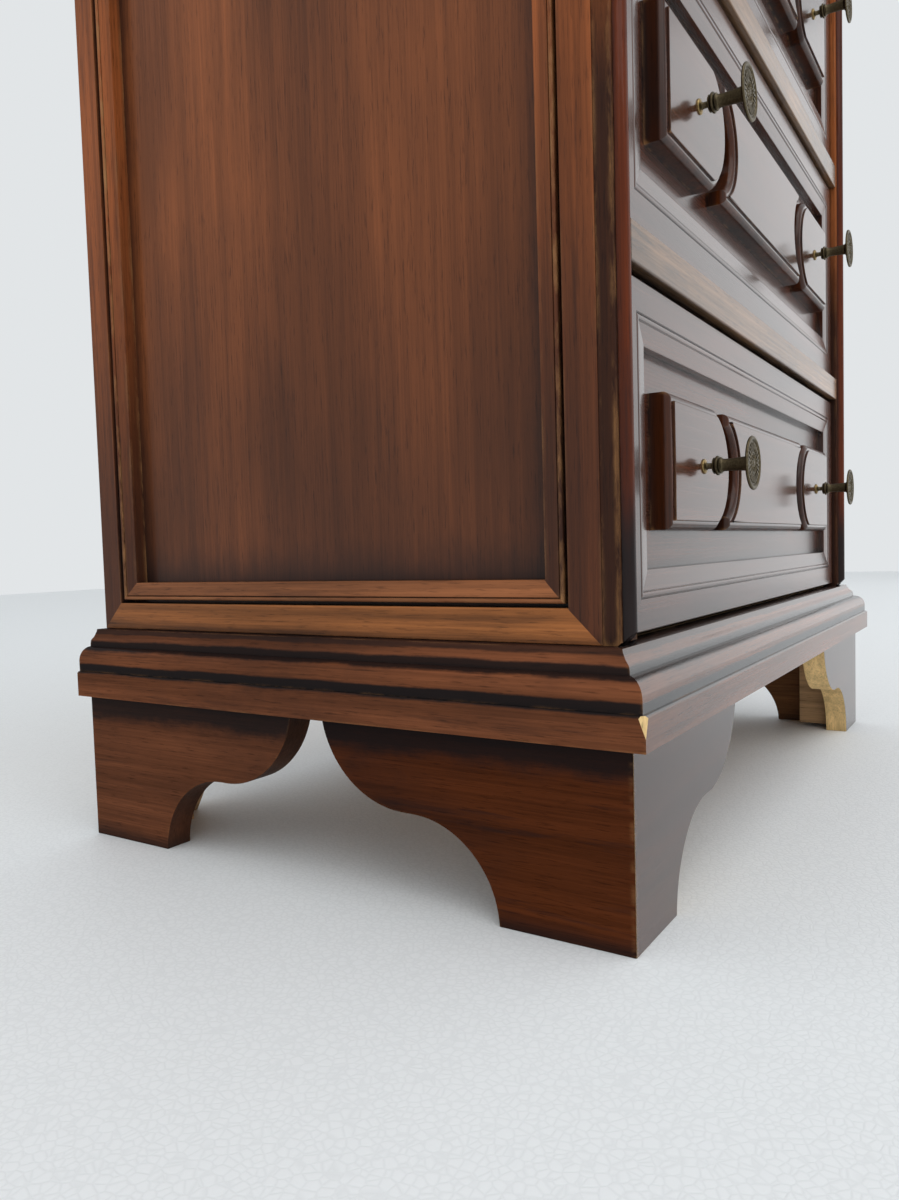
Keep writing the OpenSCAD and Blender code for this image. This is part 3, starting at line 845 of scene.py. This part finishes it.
def makeBackFeet(name):
    s = footSet
    low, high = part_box("back_feet")
    side = makeFootBoard(name + "Side", s["side"], "Y", s["thick"])
    bpy.ops.mesh.select_all(action="SELECT")
    bpy.ops.object.mode_set(mode="OBJECT")
    side.scale.y = -1
    side.location.y = frontY + high[1]
    bpy.ops.object.transform_apply(location=True, rotation=True, scale=True)
    bpy.ops.object.mode_set(mode="EDIT")
    tidyMesh()
    easeEdges(side, s["ease"], 2, 60)
    colourFoot(side, "Y", backFootWood, darkEdgeWood)
    left = low[0] + s["thick"] * mm
    brace = drawOutline(name + "Brace", [(left, high[1], 0), (left + s["braceFoot"] * mm, high[1], 0),
                                         (left + s["braceTop"] * mm, high[1], high[2]),
                                         (left, high[1], high[2])])
    push((0, -1, 0), s["thick"] * mm)
    tidyMesh()
    easeEdges(brace, s["ease"], 2, 60)
    colourFoot(brace, "X", bareCrossWood, bareCrossWood)
    boards = [side, brace]
    boards += [copyPiece(board, board.name + "Right", flip="x") for board in boards]
    placePiece(joinPieces(boards, name), "carcass", "walnut", "back_feet")


makeFrontFeet("frontFeet")
makeBackFeet("backFeet")
print("feet made")


drawerFrameSet = {
    "wall": 7.0,
    "steps": [(0.15, 0.36), (0.45, 0.14), (15.2, 0), (0.5, -0.9), (0.15, 0), (0.5, 0.75), (0.7, 0.15),
              (0.9, 0), (0.6, -0.15), (0.4, -0.75), (0.1, 0), (0.4, 0.35), (9.8, -1.35), (0.3, -0.2)],
}
blockSet = {
    "half": 35.5, "wide": 211, "endX": 141.5, "endR": 37.5,
    "hollowX": 113, "hollowR": 28.4, "tip": 105, "halve": 72,
    "wall": 7.6, "round": 3.9, "fillet": 0.7, "rise": 1.0,
}
knobSet = {"x": 158, "reach": 27.8, "discR": 14.75, "studR": 1.9, "turns": 48}


def blockSteps():
    s = blockSet
    turns = [math.radians(15 * i) for i in range(7)]
    curve = [(s["round"] * (1 - math.cos(a)), s["round"] * math.sin(a)) for a in turns]
    return stepsAlong(curve) + [(s["fillet"], 0), (0.06, s["rise"]), (0.12, 0.2), (0.3, 0.1), (0.5, 0)]


def makeBlock(name, plan, front, middle):
    piece = drawOutline(name, [(x * mm, front, middle + z * mm) for x, z in plan])
    push((0, -1, 0), blockSet["wall"] * mm)
    bpy.ops.mesh.select_all(action="SELECT")
    bpy.ops.mesh.normals_make_consistent(inside=False)
    pickFaces(lambda c, n: n.y < -0.99 and c.y < front - 0.001)
    stepIn(blockSteps())
    for x in (-blockSet["tip"], -blockSet["halve"], 0, blockSet["halve"], blockSet["tip"]):
        bpy.ops.mesh.select_all(action="SELECT")
        bpy.ops.mesh.bisect(plane_co=(x * mm, 0, 0), plane_no=(1, 0, 0))
    bpy.ops.mesh.select_all(action="SELECT")
    bpy.ops.mesh.bisect(plane_co=(0, 0, middle), plane_no=(0, 0, 1))
    tidyMesh()
    return piece


def makeBlocks(name):
    s = blockSet
    low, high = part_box("drawer_1_raised_blocks")
    middle = (low[2] + high[2]) / 2
    reach = math.degrees(math.asin(s["half"] / s["endR"]))
    square = [(s["wide"], -s["half"]), (s["wide"], s["half"])]
    outer = arc((s["endX"], 0), s["endR"], 180 - reach, 180 + reach, 30) + square
    dip = math.degrees(math.acos((s["hollowX"] - s["tip"]) / s["hollowR"]))
    rightEnd = arc((s["hollowX"], 0), s["hollowR"], 180 + dip, 180 - dip, 24)
    leftEnd = [(-x, -z) for x, z in rightEnd]
    upper = [(s["tip"], s["half"]), (-s["tip"], s["half"])]
    center = [(s["tip"], -s["half"])] + rightEnd + upper + leftEnd + [(-s["tip"], -s["half"])]
    right = makeBlock(name + "Right", outer, high[1], middle)
    left = copyPiece(right, name + "Left", flip="x")
    mid = makeBlock(name + "Middle", center, high[1], middle)
    piece = joinPieces([right, left, mid], name)
    # faces that don't face straight out take the darker rim wood: painted shade on the blocks' rims
    for face in piece.data.polygons:
        face.material_index = 0 if face.normal.y < -0.97 else 1
    giveMaterials(piece, [blockWood, blockEdgeWood])
    shade(piece, 28)
    return piece


def makeKnob(name):
    s = knobSet
    reach, disc = s["reach"], s["discR"]
    # radius, and distance out from the block, up the stem and over the disc
    section = [(0, 0), (4.2, 0), (4.2, 0.5), (3.9, 0.9), (3.2, 1.2), (2.2, 1.5), (1.7, 2.2), (1.7, 4.8),
               (2.4, 5.2), (4.0, 5.3), (4.6, 5.7), (4.6, 6.2), (4.2, 6.6), (4.6, 6.9), (5.3, 7.2),
               (5.5, 7.8), (5.3, 8.4), (4.6, 8.7), (4.2, 9.0), (4.6, 9.3), (4.6, 9.8), (4.0, 10.3),
               (3.5, 11), (3.4, 14), (3.6, 18), (4.0, reach - 4.2), (5.2, reach - 3.2),
               (9.0, reach - 2.2), (disc - 1.2, reach - 1.7), (disc - 0.3, reach - 1.5),
               (disc, reach - 1.1), (disc, reach - 0.6), (disc - 0.3, reach - 0.2), (disc - 0.9, reach),
               (disc - 1.6, reach), (disc - 2.1, reach - 0.4), (disc - 2.5, reach - 1.0),
               (disc - 3.1, reach - 0.9), (disc - 3.6, reach - 0.7), (7.2, reach - 0.7),
               (6.6, reach - 1.1), (6.1, reach - 0.6), (5.5, reach - 0.5), (5.0, reach - 1.0),
               (4.5, reach - 0.7), (2.4, reach - 0.4), (1.8, reach - 0.7), (1.2, reach - 0.3),
               (0, reach - 0.15)]
    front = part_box("drawer_1_raised_blocks")[0][1]
    low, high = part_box("drawer_1_knobs")
    middle = (low[2] + high[2]) / 2
    points = [(s["x"] * mm + r * mm, front - y * mm, middle) for r, y in section]
    piece = drawOutline(name, points, closed=False)
    bpy.ops.mesh.spin(steps=s["turns"], angle=math.tau, center=(s["x"] * mm, 0, middle), axis=(0, 1, 0))
    tidyMesh()

    def petal(c, inner, outer, every):
        radius = math.hypot(c.x - s["x"] * mm, c.z - middle) / mm
        turn = int(math.atan2(c.z - middle, c.x - s["x"] * mm) / math.tau * s["turns"] + s["turns"]) % every
        return inner < radius < outer and turn == 0 and c.y < front - (reach - 2) * mm

    for inner, outer, every, rise in ((7.3, disc - 3.7, 2, 0.45), (2.5, 4.4, 4, 0.3)):
        pickFaces(lambda c, n: petal(c, inner, outer, every))
        bpy.ops.mesh.inset(thickness=0.12 * mm, depth=rise * mm, use_individual=True)
    bpy.ops.object.mode_set(mode="OBJECT")
    # faces close to the block take the brighter brass: a painted highlight on the base collars
    for face in piece.data.polygons:
        face.material_index = 1 if face.center.y > front - 1.4 * mm else 0
    giveMaterials(piece, [oldBrass, brightBrass])
    shade(piece, 40)
    return piece


def makeStud(name):  # the threaded end behind the block
    s = knobSet
    low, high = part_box("drawer_1_knobs")
    clearSelection()
    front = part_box("drawer_1_raised_blocks")[0][1]
    bpy.ops.mesh.primitive_cylinder_add(vertices=20, radius=s["studR"] * mm, depth=high[1] - front,
                                        location=(s["x"] * mm, (high[1] + front) / 2, (low[2] + high[2]) / 2),
                                        rotation=(math.pi / 2, 0, 0))
    piece = bpy.context.object
    piece.name = name
    bpy.ops.object.transform_apply(location=True, rotation=True, scale=True)
    easeEdges(piece, 0.3)
    giveMaterials(piece, [brightBrass])
    return piece


def makeKnobs(name):
    right = joinPieces([makeKnob(name + "Right"), makeStud(name + "Stud")], name + "Right")
    left = copyPiece(right, name + "Left", flip="x")
    return joinPieces([right, left], name)


firstDrawer = {
    "frame_moulding": makeFrame("drawer1Frame", "drawer_1_frame_moulding", "front", drawerFrameSet,
                                [frontWood, frontStileWood, jointLine]),
    "raised_blocks": makeBlocks("drawer1Blocks"),
    "knobs": makeKnobs("drawer1Knobs"),
}
for number in range(drawerCount, 0, -1):
    for part, piece in firstDrawer.items():
        if number > 1:
            piece = copyPiece(piece, piece.name.replace("drawer1", "drawer%d" % number),
                              move=(0, 0, drawerPitch * (number - 1)))
        placePiece(piece, "drawer_%d" % number, "old_brass" if part == "knobs" else "walnut",
                   "drawer_%d_%s" % (number, part))
print("drawers made")


nodeFinish = {
    "bottom_board": bareCrossWood, "back_panel": backWood, "top_board": topWood, "runners": bareWood,
    "left_side_panel": panelWood, "right_side_panel": panelWood, "drawer_stops": bareCrossWood,
    "corner_blocks": bareWood,
}
drawerFinish = {"front": fieldWood, "sides": bareWood, "back": bareCrossWood, "bottom": boardWood,
                "knob_nuts": zincSteel}
for number in range(1, drawerCount + 1):
    for part, finish in drawerFinish.items():
        nodeFinish["drawer_%d_%s" % (number, part)] = finish
for name, finish in nodeFinish.items():
    nodes[name].material_slots[0].material = finish
print("boards finished")


lightSet = {"world": 0.80, "overhead": 36, "side": 9}


def addFloor(name):
    clearSelection()
    bpy.ops.mesh.primitive_plane_add(size=9, location=(0, 0, 0))
    floor = bpy.context.object
    floor.name = name
    material = bpy.data.materials.new("paleFloor")
    material.use_nodes = True
    tree = material.node_tree
    shader = tree.nodes["Principled BSDF"]
    coords = addNode(tree, "ShaderNodeTexCoord").outputs["Object"]
    cells = addNode(tree, "ShaderNodeTexVoronoi", feature="DISTANCE_TO_EDGE")
    cells.inputs["Scale"].default_value = 260
    tree.links.new(coords, cells.inputs["Vector"])
    pearls = addRamp(tree, cells.outputs["Distance"], [(0.0, 0.0), (0.16, 1.0)])
    paint = addMix(tree, "MIX", pearls, (0.77, 0.79, 0.80, 1), (0.82, 0.84, 0.85, 1))
    tree.links.new(paint, shader.inputs["Base Color"])
    bump = addNode(tree, "ShaderNodeBump")
    bump.inputs["Strength"].default_value = 0.16
    bump.inputs["Distance"].default_value = 0.0005
    tree.links.new(pearls, bump.inputs["Height"])
    tree.links.new(bump.outputs["Normal"], shader.inputs["Normal"])
    shader.inputs["Roughness"].default_value = 0.6
    floor.data.materials.append(material)


def addAreaLight(name, place, target, width, height, power):
    data = bpy.data.lights.new(name, "AREA")
    data.shape = "RECTANGLE"
    data.size, data.size_y = width, height
    data.energy = power
    light = bpy.data.objects.new(name, data)
    light.location = place
    light.rotation_euler = (Vector(target) - Vector(place)).to_track_quat("-Z", "Y").to_euler()
    light.visible_camera = False
    bpy.context.scene.collection.objects.link(light)


addFloor("studioFloor")
world = bpy.data.worlds.new("studioWorld")
bpy.context.scene.world = world
world.use_nodes = True
world.node_tree.nodes["Background"].inputs["Color"].default_value = (0.95, 0.98, 1.0, 1)
world.node_tree.nodes["Background"].inputs["Strength"].default_value = lightSet["world"]
addAreaLight("overheadLight", (-0.9, -1.4, 2.6), (0, 0, 0.4), 3.0, 3.0, lightSet["overhead"])
addAreaLight("sideLight", (2.6, -1.7, 1.0), (0.1, -0.2, 0.4), 3.2, 2.2, lightSet["side"])
bpy.context.scene.view_settings.view_transform = "Standard"
print("light set")
